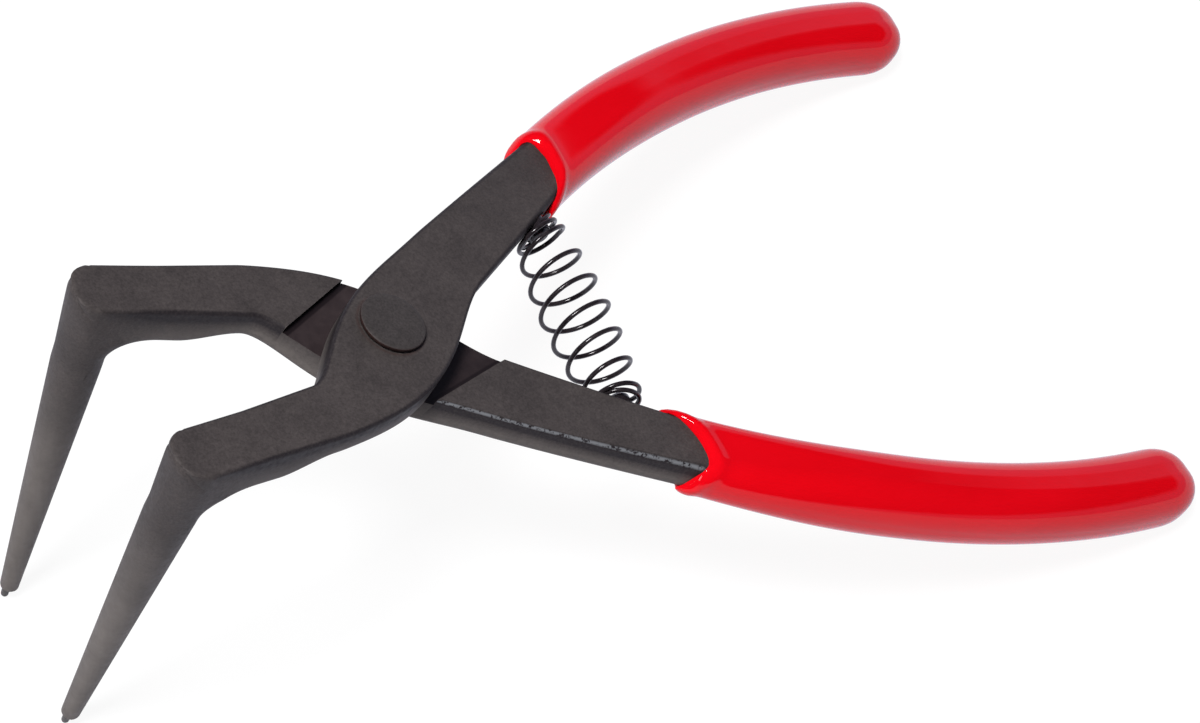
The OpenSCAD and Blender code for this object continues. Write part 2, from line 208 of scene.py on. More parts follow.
def heading_of(a):
    return np.array([cos(radians(a)), sin(radians(a))])


def normal_of(a):
    return np.array([-sin(radians(a)), cos(radians(a))])


def in_space(p, z):
    return np.array([p[0], p[1], z])


def mix(a, b, t):
    return a + (b - a) * t


def smooth(t):
    u = min(max(t, 0), 1)
    return u * u * (3 - 2 * u)


def bump_of(t):
    return (4 * t * (1 - t)) ** SWELL_POWER


def bezier(p, t):
    return (1 - t) ** 3 * p[0] + 3 * t * (1 - t) ** 2 * p[1] + 3 * t * t * (1 - t) * p[2] + t ** 3 * p[3]


def bezier_slope(p, t):
    return 3 * ((1 - t) ** 2 * (p[1] - p[0]) + 2 * t * (1 - t) * (p[2] - p[1]) + t * t * (p[3] - p[2]))


# Middle lines of the handle and the jaw
def handle_heading(s):
    return HANDLE_ANGLE - degrees(max(s - ARM_LEN, 0) / HANDLE_R)


def arm_point(s):
    return s * heading_of(HANDLE_ANGLE) + ARM_OFFSET * normal_of(HANDLE_ANGLE)


def handle_point(s):
    if s <= ARM_LEN:
        return arm_point(s)
    return arm_point(ARM_LEN) + HANDLE_R * (normal_of(handle_heading(s)) - normal_of(HANDLE_ANGLE))


def jaw_point(q):
    return -q * heading_of(JAW_ANGLE) - JAW_OFFSET * normal_of(JAW_ANGLE)


# Cross-sections
def round_corner(w, high, r):
    """Points (across, level) round the upper corner of a section."""
    turns = np.linspace(0, pi / 2, CORNER_STEPS + 1)
    return np.stack([w - r + r * np.cos(turns), high - r + r * np.sin(turns)], 1)


def nose_corner(w, high, nose, tall):
    """Upper corner of a section that the round nose cuts back by an angle, with its edge eased."""
    edge = min(EDGE_R, EASE_LIMIT * w * cos(nose))
    turns = np.linspace(0, nose, NOSE_POINTS)
    arc = np.stack([w * np.cos(turns), high - tall * (sin(nose) - np.sin(turns))], 1)
    path = np.concatenate([[(w, arc[0, 1] - EDGE_R)], arc])
    to_tip = np.linalg.norm(path - path[-1], axis=1)
    path = path[to_tip >= edge]
    tip = arc[-1]
    share = np.linspace(0, 1, EASE_POINTS)[:, None]
    eased = (1 - share) ** 2 * path[-1] + 2 * share * (1 - share) * tip + share ** 2 * (tip - (edge, 0))
    path = np.concatenate([path, eased[1:]])
    length = np.concatenate([[0], np.cumsum(np.linalg.norm(np.diff(path, axis=0), axis=1))])
    at = np.linspace(0, length[-1], CORNER_STEPS + 1)
    return np.stack([np.interp(at, length, path[:, 0]), np.interp(at, length, path[:, 1])], 1)


def section(origin, up, side, low, high, w, low_r, corner):
    """A place, two directions, two levels, a half width, a lower corner radius and the upper corner."""
    return dict(origin=origin, up=up, side=side, low=low, high=high, w=w, low_r=low_r, corner=corner)


def flat_section(p, heading, low, high, w, low_r, high_r):
    side = in_space(-normal_of(heading), 0)
    return section(in_space(p, 0), UP, side, low, high, w, low_r, round_corner(w, high, high_r))


def half_ring(s):
    """Points (across, level, edge share, wall share) up one side of a section."""
    w, low, high, lr = [s[key] for key in ("w", "low", "high", "low_r")]
    start = s["corner"][0, 1]
    end = s["corner"][-1, 0]
    flat_low = max(w - lr - SUPPORT, FLAT_LEAST * (w - lr))
    flat_high = max(end - SUPPORT, FLAT_LEAST * end)
    wall_low = min(low + lr + SUPPORT, mix(low + lr, start, WALL_SHARES[0]))
    wall_high = max(start - SUPPORT, mix(low + lr, start, WALL_SHARES[1]))
    turns = np.linspace(0, pi / 2, CORNER_STEPS + 1)
    sharp = EDGE_R / max(w - end, EDGE_R)
    points = [(flat_low * share, low, 0, 0) for share in FLAT_SHARES]
    points += [(w - lr + lr * sin(a), low + lr - lr * cos(a), 0, -sin(a)) for a in turns]
    points += [(w, wall_low, 0, -1), (w, wall_high, 0, 1)]
    points += [(x, z, sin(2 * a) ** (1 / sharp), cos(a)) for (x, z), a in zip(s["corner"], turns)]
    return points + [(flat_high * share, high, 0, 0) for share in reversed(FLAT_SHARES)]


def ring(s):
    """Points of a section in space, with the edge share of its outer side and its wall share."""
    half = np.array(half_ring(s))
    both = np.concatenate([half, half[::-1] * (-1, 1, 1, 1)])
    points = s["origin"] + np.outer(both[:, 0], s["side"]) + np.outer(both[:, 1], s["up"])
    return points, np.where(both[:, 0] < 0, both[:, 2], 0), both[:, 3]


def new_object(name, points, faces, mirrored=False):
    """A piece from points in tool axes and millimetres, turned into the row frame."""
    points = np.array(points, float)
    if mirrored:
        points = points * np.array([1, -1, 1])
    mesh = bpy.data.meshes.new(name)
    mesh.from_pydata([tool @ Vector(p * MM) for p in points], [], faces)
    work = bmesh.new()
    work.from_mesh(mesh)
    bmesh.ops.recalc_face_normals(work, faces=work.faces)
    work.to_mesh(mesh)
    work.free()
    mesh.shade_smooth()
    obj = bpy.data.objects.new(name, mesh)
    bpy.context.scene.collection.objects.link(obj)
    return obj


def loft(name, rings, mirrored=False):
    """Skin over a row of rings with the same number of points, with a cap on each end."""
    n = len(rings[0])
    count = len(rings)
    faces = [(i * n + j, (i + 1) * n + j, (i + 1) * n + (j + 1) % n, i * n + (j + 1) % n)
             for i in range(count - 1) for j in range(n)]
    faces += [tuple(range(n)), tuple(reversed(range((count - 1) * n, count * n)))]
    return new_object(name, np.concatenate(rings), faces, mirrored)


def add_values(obj, name, values):
    """Keeps one number for each point of a mesh, for its material to read."""
    attribute = obj.data.attributes.new(name, "FLOAT", "POINT")
    attribute.data.foreach_set("value", np.array(values, np.float32))


# Steel of the arms
def arm_width(s):
    past_root = min(max(s - ARM_ROOT, 0) / (GRIP_AT - ARM_ROOT), 1)
    return mix(ARM_ROOT_W, ARM_MOUTH_W, past_root)


def level_share(s):
    return smooth((s - ARM_ROOT) / LEVEL_LEN)


def arm_section(s, face, under, grow=0):
    t = level_share(s)
    return flat_section(handle_point(s), handle_heading(s), mix(under, GRIP_Z - ARM_T / 2, t) - grow,
                        mix(face, GRIP_Z + ARM_T / 2, t) + grow, arm_width(s) / 2 + grow, UNDER_R + grow,
                        mix(EDGE_R, UNDER_R, t) + grow)


def arm_mid(s, face, under):
    return mix((face + under) / 2, GRIP_Z, level_share(s))


# Curve through the joint from the arm to the jaw
def joint_frame():
    """The joint's middle line and half widths as curves, and the swell at its middle."""
    a = handle_point(ARM_ROOT)
    b = jaw_point(JAW_ROOT)
    path = [a, a - ARM_PULL * heading_of(HANDLE_ANGLE), b + JAW_PULL * heading_of(JAW_ANGLE), b]
    widths = [ARM_ROOT_W / 2, ARM_ROOT_W / 2 + ARM_TAPER * ARM_PULL,
              JAW_ROOT_W / 2 + JAW_TAPER * JAW_PULL, JAW_ROOT_W / 2]
    return path, widths, JOINT_W / 2 - bezier(widths, 0.5)


def joint_section(t, face, under):
    path, widths, swell = joint_frame()
    slope = bezier_slope(path, t)
    heading = degrees(atan2(-slope[1], -slope[0]))
    half = bezier(widths, t) + swell * bump_of(t)
    low_r = UNDER_R * (1 - UNDER_LOSS * bump_of(t))
    return flat_section(bezier(path, t), heading, under, face, half, low_r, EDGE_R)


def jaw_half(q):
    return JAW_ROOT_W / 2 - JAW_TAPER * (q - JAW_ROOT)


def jaw_section(q, face, under):
    low = mix(under, face - JAW_T, smooth((q - JAW_ROOT) / JAW_DROP))
    return flat_section(jaw_point(q), JAW_ANGLE, low, face, jaw_half(q), UNDER_R, EDGE_R)


class Leg:
    """Bend and leg of one lever, by the depth below its face."""

    def __init__(self, face):
        self.face = face
        self.length = face - TIP_Z
        self.slope = LEG_BACK / LEG_DROP
        self.top = JAW_LEN - self.slope * (FRONT_FACE - face)
        self.inset = LEG_IN / self.length
        self.side = in_space(-normal_of(JAW_ANGLE), 0)
        way = self.centre(self.length) - self.centre(0)
        self.way = way / np.linalg.norm(way)
        depth = JAW_T + BEND_R
        self.pivot = (self.top - self.slope * depth - self.radius(depth) - BEND_R, face - depth)
        self.rise = face - self.pivot[1]
        self.run = self.top + LEG_ROOT_R - self.pivot[0]

    def radius(self, depth):
        return mix(LEG_ROOT_R, LEG_TIP_R, depth / self.length)

    def centre(self, depth):
        plan = jaw_point(self.top - self.slope * depth) + self.inset * depth * normal_of(JAW_ANGLE)
        return in_space(plan, self.face - depth)

    def reach(self, angle):
        """Distance from the inner fillet's centre to the face or the leg's front, soft between them."""
        lean = self.slope + (LEG_ROOT_R - LEG_TIP_R) / self.length
        to_face = max(cos(angle), 0) / self.rise
        to_front = max(sin(angle) - lean * cos(angle), 0) / (self.run - lean * self.rise)
        return (to_face ** NOSE_POWER + to_front ** NOSE_POWER) ** (-1 / NOSE_POWER)

    def fan(self, angle, plan_angle, w):
        """A section of the bend, turned about the inner fillet's centre."""
        reach = self.reach(angle)
        depth = max(self.rise - (BEND_R + reach) / 2 * cos(angle), 0)
        base = jaw_point(self.pivot[0]) + self.inset * depth * sin(angle) * normal_of(JAW_ANGLE)
        way = in_space(-heading_of(JAW_ANGLE), 0)
        low_r = mix(UNDER_R, ROUND_SHARE * w, smooth(degrees(angle) / 90))
        corner = round_corner(w, reach, EDGE_R)
        if plan_angle > 0:
            corner = nose_corner(w, reach, min(plan_angle, NOSE_LIMIT), w / sin(angle))
        return section(in_space(base, self.pivot[1]), sin(angle) * way + cos(angle) * UP, self.side,
                       BEND_R, reach, w, low_r, corner)

    def bend(self, steps):
        axis_angle = atan2(self.top - self.pivot[0], self.rise)
        corner_angle = atan2(self.run, self.rise)
        last = pi / 2 + atan(self.slope)
        rows = [self.fan(axis_angle * i / steps, 0, mix(jaw_half(self.pivot[0]), LEG_ROOT_R, i / steps))
                for i in range(steps)]
        for i in range(2 * steps + 1):
            b = pi / 2 * i / (2 * steps)
            out = self.top + LEG_ROOT_R * sin(b) - self.pivot[0]
            rows.append(self.fan(atan2(out, self.rise), b, LEG_ROOT_R))
        end_r = self.radius(JAW_T + BEND_R)
        for i in range(1, 2 * steps + 1):
            t = (i / (2 * steps)) ** BEND_SPACING
            rows.append(self.fan(mix(corner_angle, last, t), pi / 2, mix(LEG_ROOT_R, end_r, t)))
        return rows

    def cross(self, depth, r):
        """A round section of the leg."""
        front = np.cross(self.way, self.side)
        return section(self.centre(depth), front / np.linalg.norm(front), self.side, -r, r, r,
                       ROUND_SHARE * r, round_corner(r, r, ROUND_SHARE * r))

    def shaft(self, steps):
        start = JAW_T + BEND_R + LEG_ROOT_R
        end = self.length - PIN_BARE - LEG_END_R
        rows = [self.cross(depth, self.radius(depth)) for depth in np.linspace(start, end, steps + 1)]
        turns = np.linspace(0, pi / 2, LEG_END_ROWS + 1)[1:]
        return rows + [self.cross(end + LEG_END_R * sin(a), self.radius(end) - LEG_END_R * (1 - cos(a)))
                       for a in turns]


# Levers, with the places of wear, painted wall shade and painted floor reflection that their material reads
RUBBED_ROWS = ARM_ROWS + JOINT_ROWS // 3
# Rows over which the painted shade on the side walls fades out past the jaw
SHADE_ROWS = 12
BARE_FROM = 10
BARE_FADE = 45


def lever_blank(name, face, under, mirrored):
    leg = Leg(face)
    core_end = ARM_LEN + HANDLE_CURVE
    half = ARM_ROWS // 2
    rows = [arm_section(mix(core_end, ARM_LEN, i / half), face, under) for i in range(half)]
    rows += [arm_section(mix(ARM_LEN, ARM_ROOT, i / half), face, under) for i in range(half)]
    rows += [joint_section(i / JOINT_ROWS, face, under) for i in range(JOINT_ROWS)]
    rows += [jaw_section(mix(JAW_ROOT, leg.pivot[0], i / JAW_ROWS), face, under) for i in range(JAW_ROWS)]
    jaw_end = len(rows)
    rows += leg.bend(BEND_ROWS) + leg.shaft(LEG_ROWS)
    points, edges, walls = zip(*[ring(r) for r in rows])
    obj = loft(name, points, mirrored)
    along = np.arange(len(rows))
    rubbed = np.where(along < RUBBED_ROWS, 1, 0) if mirrored else np.zeros(len(rows))
    # The wall share carries painted shade high on the side walls and a painted floor reflection on their
    # lower corners, over arm, joint and jaw
    walled = np.clip((jaw_end + SHADE_ROWS - along) / SHADE_ROWS, 0, 1)
    levels = np.concatenate(points)[:, 2]
    add_values(obj, "edge", np.concatenate(edges) * np.repeat(rubbed, len(points[0])))
    add_values(obj, "wall", np.concatenate(walls) * np.repeat(walled, len(points[0])))
    add_values(obj, "leg", [smooth((face - z - BARE_FROM) / BARE_FADE) for z in levels])
    return obj


def lap_prism():
    """The space that the lap leaves free above the rear lever, between its two shoulders."""
    far = 60
    high = 20
    edges = ((JAW_SHOULDER_ANGLE, JAW_SHOULDER, 1), (JAW_SHOULDER_ANGLE, JAW_SHOULDER, -1),
             (ARM_SHOULDER_ANGLE, -ARM_SHOULDER, -1), (ARM_SHOULDER_ANGLE, -ARM_SHOULDER, 1))
    corners = [offset * normal_of(a) + way * far * heading_of(a) for a, offset, way in edges]
    points = [in_space(c, z) for z in (0, high) for c in corners]
    faces = [(3, 2, 1, 0), (4, 5, 6, 7)]
    faces += [(i, (i + 1) % 4, (i + 1) % 4 + 4, i + 4) for i in range(4)]
    obj = new_object("lap_prism", points, faces)
    for mat in (RECESS, SHADED_SHOULDER):
        obj.data.materials.append(mat)
    # Faces on one level take the lap's material, and the walls between take the shoulders' dark painted shade
    for face in obj.data.polygons:
        levels = {corner // len(corners) for corner in face.vertices}
        face.material_index = len(levels) - 1
    return obj


def lathe(name, profile, base, way, segments, mirrored=False):
    """A turned piece from a profile of (radius, height), on a base point along a direction."""
    way = np.array(way, float) / np.linalg.norm(way)
    across = np.cross(way, [1.0, 0.0, 0.0])
    across = across / np.linalg.norm(across)
    along = np.cross(way, across)
    turns = np.linspace(0, 2 * pi, segments, endpoint=False)[:, None]
    circle = np.cos(turns) * across + np.sin(turns) * along
    return loft(name, [np.array(base) + h * way + r * circle for r, h in profile], mirrored)


def rounded(points, radius):
    """A profile with its inner points rounded off."""
    points = [np.array(p, float) for p in points]
    out = [points[0]]
    for a, b, c in zip(points, points[1:], points[2:]):
        back = (a - b) / np.linalg.norm(a - b)
        on = (c - b) / np.linalg.norm(c - b)
        cut = min(radius, ROUND_LIMIT * np.linalg.norm(a - b), ROUND_LIMIT * np.linalg.norm(c - b))
        for t in np.linspace(0, 1, ROUND_STEPS + 1):
            out.append((1 - t) ** 2 * (b + cut * back) + 2 * t * (1 - t) * b + t * t * (b + cut * on))
    return out + [points[-1]]


def carve(obj, cutters):
    """Takes the cutters out of a piece for good and keeps its creases sharp."""
    for c in cutters:
        cut = obj.modifiers.new("cut", "BOOLEAN")
        cut.operation = "DIFFERENCE"
        cut.solver = "EXACT"
        cut.object = c
        cut.material_mode = "TRANSFER"
    bpy.context.view_layer.update()
    solid = bpy.data.meshes.new_from_object(obj.evaluated_get(bpy.context.evaluated_depsgraph_get()))
    obj.modifiers.clear()
    obj.data = solid
    for c in cutters:
        bpy.data.objects.remove(c)
    solid.shade_smooth()
    solid.set_sharp_from_angle(angle=radians(CREASE))


# Materials
def open_tree(owner):
    """Empties the nodes of a material or world: (node maker, link maker)."""
    owner.use_nodes = True
    tree = owner.node_tree
    tree.nodes.clear()

    def node(kind, **settings):
        made = tree.nodes.new("ShaderNode" + kind)
        for key, value in settings.items():
            if key in made.inputs:
                made.inputs[key].default_value = value
            else:
                setattr(made, key, value)
        return made

    return node, tree.links.new


def node_material(name):
    """A material with one surface shader: (material, node maker, link maker, shader)."""
    mat = bpy.data.materials.new(name)
    node, link = open_tree(mat)
    out = node("OutputMaterial")
    shader = node("BsdfPrincipled")
    link(shader.outputs[0], out.inputs[0])
    return mat, node, link, shader


def stretched_noise(node, link, scale, stretch, detail, roughness=0.6):
    """Noise in the row frame's metres, stretched along chosen axes of the tool."""
    place = node("TexCoord")
    turn = node("Mapping", vector_type="POINT")
    turn.inputs["Rotation"].default_value = tool.inverted().to_euler()
    turn.inputs["Scale"].default_value = stretch
    noise = node("TexNoise", Scale=scale, Detail=detail, Roughness=roughness)
    link(place.outputs["Object"], turn.inputs["Vector"])
    link(turn.outputs["Vector"], noise.inputs["Vector"])
    return noise.outputs["Fac"]


def ramp(node, link, source, stops):
    """A value led through stops of (place, grey or colour)."""
    made = node("ValToRGB")
    link(source, made.inputs["Fac"])
    elements = made.color_ramp.elements
    for k, (at, value) in enumerate(stops):
        e = elements[k] if k < 2 else elements.new(at)
        e.position = at
        e.color = (*value, 1) if isinstance(value, tuple) else (value, value, value, 1)
    return made.outputs["Color"]


def blend_colour(node, link, share, a, b, mode="MIX"):
    """One colour laid over another by a share; each may be a constant or an output."""
    made = node("Mix", data_type="RGBA", blend_type=mode)
    for socket, value in ((made.inputs[0], share), (made.inputs[6], a), (made.inputs[7], b)):
        if isinstance(value, (int, float)):
            socket.default_value = value
        elif isinstance(value, tuple):
            socket.default_value = (*value, 1)
        else:
            link(value, socket)
    return made.outputs[2]


def mottle(node, link, share, colour, noise, low, high):
    """A colour that a noise darkens and lightens by a share."""
    shades = ramp(node, link, noise, [(0.3, low), (0.7, high)])
    return blend_colour(node, link, share, colour, shades, "MULTIPLY")


def calc(node, link, a, b, operation="MULTIPLY"):
    """Two values, constants or outputs, taken together: a product unless another operation is named."""
    made = node("Math", operation=operation)
    for k, value in enumerate((a, b)):
        if isinstance(value, (int, float)):
            made.inputs[k].default_value = value
        else:
            link(value, made.inputs[k])
    return made.outputs[0]


def bumps(node, link, shader, layers):
    """Stacks bump layers of (height, strength, distance in metres) on the shader's normal."""
    last = None
    for height, strength, distance in layers:
        made = node("Bump", Strength=strength, Distance=distance)
        link(height, made.inputs["Height"])
        if last is not None:
            link(last, made.inputs["Normal"])
        last = made.outputs["Normal"]
    link(last, shader.inputs["Normal"])


def lap_place(node, link):
    """Place in the plane of the lap, in millimetres from the pivot axis."""
    place = node("TexCoord")
    turn = node("Mapping", vector_type="TEXTURE")
    turn.inputs["Location"].default_value = tool.translation
    turn.inputs["Rotation"].default_value = tool.to_euler()
    turn.inputs["Scale"].default_value = (MM, MM, 1)
    link(place.outputs["Object"], turn.inputs["Vector"])
    return turn.outputs["Vector"]


def axis_distance(node, link):
    """Distance from the pivot axis, in millimetres."""
    length = node("VectorMath", operation="LENGTH")
    link(lap_place(node, link), length.inputs[0])
    return length.outputs["Value"]


def shoulder_depth(node, link, angle, offset):
    """Share of the painted shade's span that a place on the lap lies in front of one shoulder."""
    along = node("VectorMath", operation="DOT_PRODUCT")
    along.inputs[1].default_value = in_space(normal_of(angle) * (1 if offset > 0 else -1), 0)
    link(lap_place(node, link), along.inputs[0])
    depth = calc(node, link, abs(offset), along.outputs["Value"], "SUBTRACT")
    return calc(node, link, depth, 1 / PAINTED_SHADE_SPAN)


# Stretch of the noises, spans of rust and painted shade in millimetres, and the colours of the rust stain and
# of painted shade
EVEN = (1, 1, 1)
DOWN_LEG = (1, 1, 0.05)
DOWN_GRIP = (0.35, 1, 1)
ORANGE_PEEL = (0.6, 1, 1)
SCORED = (0.2, 1, 1)
HALO_SPAN = 20
PAINTED_SHADE_SPAN = 10
# Colour of the painted shade along the lap's shoulders and on their walls
PAINTED_SHADE = (0.011, 0.007, 0.008)
RUST = (0.05, 0.018, 0.014)
# Colour of the painted shade on the side walls
WALL_SHADE = (0.016, 0.013, 0.016)


def steel_material(name, dark, light, worn, bare_and_sheen, shade, shade_share, rough):
    """Dark forged steel: mottled, with painted shade on the upper part of its side walls and a painted floor
    reflection on their lower corners, rubbed bare on the outer edge and the legs.
    """
    mat, node, link, shader = node_material(name)
    cloud = stretched_noise(node, link, 130, EVEN, 4)
    speck = stretched_noise(node, link, 2400, EVEN, 3, 0.7)
    grain = stretched_noise(node, link, 900, EVEN, 2)
    streak = stretched_noise(node, link, 500, DOWN_LEG, 3)
    colour = ramp(node, link, cloud, [(0.35, dark), (0.7, light)])
    colour = mottle(node, link, 0.8, colour, speck, 0.6, 1.15)
    colour = mottle(node, link, 0.6, colour, grain, 0.8, 1.1)
    leg = node("Attribute", attribute_name="leg").outputs["Fac"]
    ground = mottle(node, link, 0.5, bare_and_sheen, streak, 0.75, 1.0)
    ground = mottle(node, link, 0.6, ground, cloud, 0.7, 1.1)
    colour = blend_colour(node, link, leg, colour, ground)
    # Painted shade: the upper part of the side walls is darkened by the wall share
    wall = node("Attribute", attribute_name="wall").outputs["Fac"]
    band = ramp(node, link, wall, [(0.05, 0.0), (0.55, 1.0)])
    painted_wall_shade = calc(node, link, band, ramp(node, link, speck, [(0.3, shade_share), (0.8, 0.6 * shade_share)]))
    colour = blend_colour(node, link, painted_wall_shade, colour, shade)
    # Painted floor reflection: the lower rounded corners of the side walls are lightened, in patches, towards
    # the bare colour
    painted_foot_sheen = ramp(node, link, calc(node, link, wall, -1.0), [(0.0, 0.0), (0.9, 0.6)])
    patchy = ramp(node, link, grain, [(0.3, 0.6), (0.7, 1.0)])
    colour = blend_colour(node, link, calc(node, link, painted_foot_sheen, patchy), colour, bare_and_sheen)
    from_axis = calc(node, link, axis_distance(node, link), 1 / HALO_SPAN)
    rim = HEAD_R / HALO_SPAN
    halo = ramp(node, link, from_axis, [(rim - 0.01, 0.0), (rim + 0.005, 0.7), (rim + 0.03, 0.0)])
    colour = blend_colour(node, link, calc(node, link, halo, grain), colour, RUST)
    edge = node("Attribute", attribute_name="edge").outputs["Fac"]
    broken = ramp(node, link, calc(node, link, speck, grain, "ADD"), [(0.86, 0.0), (1.1, 1.0)])
    thin = ramp(node, link, edge, [(0.55, 0.0), (1.0, 0.7)])
    colour = blend_colour(node, link, calc(node, link, thin, broken), colour, worn)
    link(colour, shader.inputs["Base Color"])
    shader.inputs["Metallic"].default_value = 0.1
    shader.inputs["Specular IOR Level"].default_value = 0.15
    link(ramp(node, link, grain, [(0.3, rough - 0.07), (0.7, rough + 0.09)]), shader.inputs["Roughness"])
    bumps(node, link, shader, [(grain, 0.25, 0.00012), (speck, 0.35, 0.00005)])
    return mat


def vinyl_material(name):
    """Glossy dipped vinyl: a deep even red with faint runs, a soft orange peel and a little dust."""
    mat, node, link, shader = node_material(name)
    runs = stretched_noise(node, link, 60, DOWN_GRIP, 3)
    peel = stretched_noise(node, link, 260, ORANGE_PEEL, 2)
    dust = stretched_noise(node, link, 3200, EVEN, 2)
    colour = ramp(node, link, runs, [(0.3, (0.7, 0.0015, 0.006)), (0.7, (0.77, 0.002, 0.008))])
    link(colour, shader.inputs["Base Color"])
    link(ramp(node, link, runs, [(0.3, 0.03), (0.75, 0.07)]), shader.inputs["Roughness"])
    shader.inputs["Specular IOR Level"].default_value = 0.3
    shader.inputs["Subsurface Weight"].default_value = 0.04
    shader.inputs["Subsurface Radius"].default_value = (1, 0.2, 0.2)
    shader.inputs["Subsurface Scale"].default_value = 0.001
    bumps(node, link, shader, [(runs, 0.2, 0.0003), (peel, 0.06, 0.0001), (dust, 0.02, 0.00003)])
    return mat


def wire_material(name):
    """Blackened spring wire: dark and glossy, with rubbed patches."""
    mat, node, link, shader = node_material(name)
    patch = stretched_noise(node, link, 500, EVEN, 3)
    fine = stretched_noise(node, link, 4000, EVEN, 2)
    colour = ramp(node, link, patch, [(0.35, (0.010, 0.007, 0.009)), (0.72, (0.035, 0.028, 0.032))])
    link(colour, shader.inputs["Base Color"])
    shader.inputs["Metallic"].default_value = 0.15
    shader.inputs["Specular IOR Level"].default_value = 0.4
    link(ramp(node, link, patch, [(0.3, 0.1), (0.7, 0.24)]), shader.inputs["Roughness"])
    bumps(node, link, shader, [(fine, 0.2, 0.00002)])
    return mat


def recess_material(name, dark, light):
    """Lap: brownish, oily and scored by the other lever, with painted shade in front of its shoulders and a
    painted shadow of the front lever fading across the arm's side.
    """
    mat, node, link, shader = node_material(name)
    stain = stretched_noise(node, link, 300, EVEN, 4)
    score = stretched_noise(node, link, 1500, SCORED, 3)
    colour = ramp(node, link, stain, [(0.3, dark), (0.75, light)])
    # Painted shade: a dark band along each shoulder, which on the arm's side fades slowly across the lap as a
    # painted shadow of the front lever
    jaw_end = [(0.085, 1.0), (0.11, 0.0)]
    arm_end = [(0.08, 1.0), (0.11, 0.45), (0.6, 0.3), (0.9, 0.0)]
    for angle, offset, stops in ((JAW_SHOULDER_ANGLE, JAW_SHOULDER, jaw_end),
                                 (ARM_SHOULDER_ANGLE, -ARM_SHOULDER, arm_end)):
        shoulder_shade = ramp(node, link, shoulder_depth(node, link, angle, offset), stops)
        colour = blend_colour(node, link, shoulder_shade, colour, PAINTED_SHADE)
    link(colour, shader.inputs["Base Color"])
    shader.inputs["Metallic"].default_value = 0.1
    shader.inputs["Specular IOR Level"].default_value = 0.2
    link(ramp(node, link, stain, [(0.3, 0.42), (0.7, 0.58)]), shader.inputs["Roughness"])
    bumps(node, link, shader, [(score, 0.3, 0.00006)])
    return mat


DARK_STEEL = steel_material("lever_steel", dark=(0.062, 0.053, 0.052), light=(0.082, 0.070, 0.068),
                            worn=(0.24, 0.25, 0.27), bare_and_sheen=(0.166, 0.148, 0.138), shade=WALL_SHADE,
                            shade_share=0.95, rough=0.56)
# The rivet's shade colour is a dark reddish painted shade for its head walls
RIVET_STEEL = steel_material("rivet_steel", dark=(0.050, 0.044, 0.043), light=(0.066, 0.058, 0.057),
                             worn=(0.22, 0.21, 0.205), bare_and_sheen=(0.12, 0.115, 0.112), shade=(0.012, 0.006, 0.006),
                             shade_share=1.0, rough=0.54)
PIN_STEEL = steel_material("pin_steel", dark=(0.10, 0.095, 0.092), light=(0.15, 0.142, 0.138),
                           worn=(0.3, 0.29, 0.28), bare_and_sheen=(0.13, 0.125, 0.12), shade=WALL_SHADE,
                           shade_share=0.5, rough=0.4)
VINYL = vinyl_material("grip_vinyl")
WIRE = wire_material("spring_wire")
RECESS = recess_material("lap_recess", (0.026, 0.018, 0.019), (0.046, 0.033, 0.034))
# The shoulder walls of the lap: a dark material that stands for painted shade
SHADED_SHOULDER = recess_material("lap_shoulder_shade", PAINTED_SHADE, (0.018, 0.012, 0.012))


# Pieces
def finish_piece(obj, mat, body, node):
    if not obj.data.materials:
        obj.data.materials.append(mat)
    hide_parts(node)
    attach(obj, body)


def hole(name, r, base, way, depth_in, depth_out, mat, mirrored=False):
    """A drill with the material of the hole that it leaves."""
    made = lathe(name, [(r, -depth_in), (r, depth_out)], base, way, HOLE_SEGMENTS, mirrored)
    made.data.materials.append(mat)
    return made


SEAT = handle_point(SEAT_AT) - arm_width(SEAT_AT) / 2 * normal_of(HANDLE_ANGLE)
SEAT_WAY = np.array([0.0, -1.0, 0.0])
BORE_REACH = 20


def seat_place(face, under):
    return in_space(SEAT, arm_mid(SEAT_AT, face, under))


def pin_base(leg):
    return leg.centre(leg.length) - PIN_SHIFT * in_space(heading_of(JAW_ANGLE), 0)


def make_lever(name, node, body, face, under, bore, mirrored):
    leg = Leg(face)
    obj = lever_blank(name, face, under, mirrored)
    obj.data.materials.append(DARK_STEEL)
    cutters = [
        hole(name + "_bore", bore, (0, 0, 0), UP, BORE_REACH, BORE_REACH, DARK_STEEL),
        hole(name + "_seat", PEG_R + SET_CLEAR, seat_place(face, under), SEAT_WAY, PEG_IN + SET_CLEAR, PEG_IN,
             DARK_STEEL, mirrored),
        hole(name + "_tang", TANG_R + SET_CLEAR, pin_base(leg), leg.way, PIN_IN + SET_CLEAR, PIN_IN,
             PIN_STEEL, mirrored)]
    if mirrored:
        cutters.append(lap_prism())
    carve(obj, cutters)
    finish_piece(obj, DARK_STEEL, body, node)


make_lever("front_lever_steel", "front_lever", "front_half", FRONT_FACE, FRONT_UNDER,
           RIVET_R + PIVOT_CLEAR, False)
make_lever("rear_lever_steel", "rear_lever", "rear_half", REAR_FACE, REAR_UNDER,
           RIVET_R + SET_CLEAR, True)


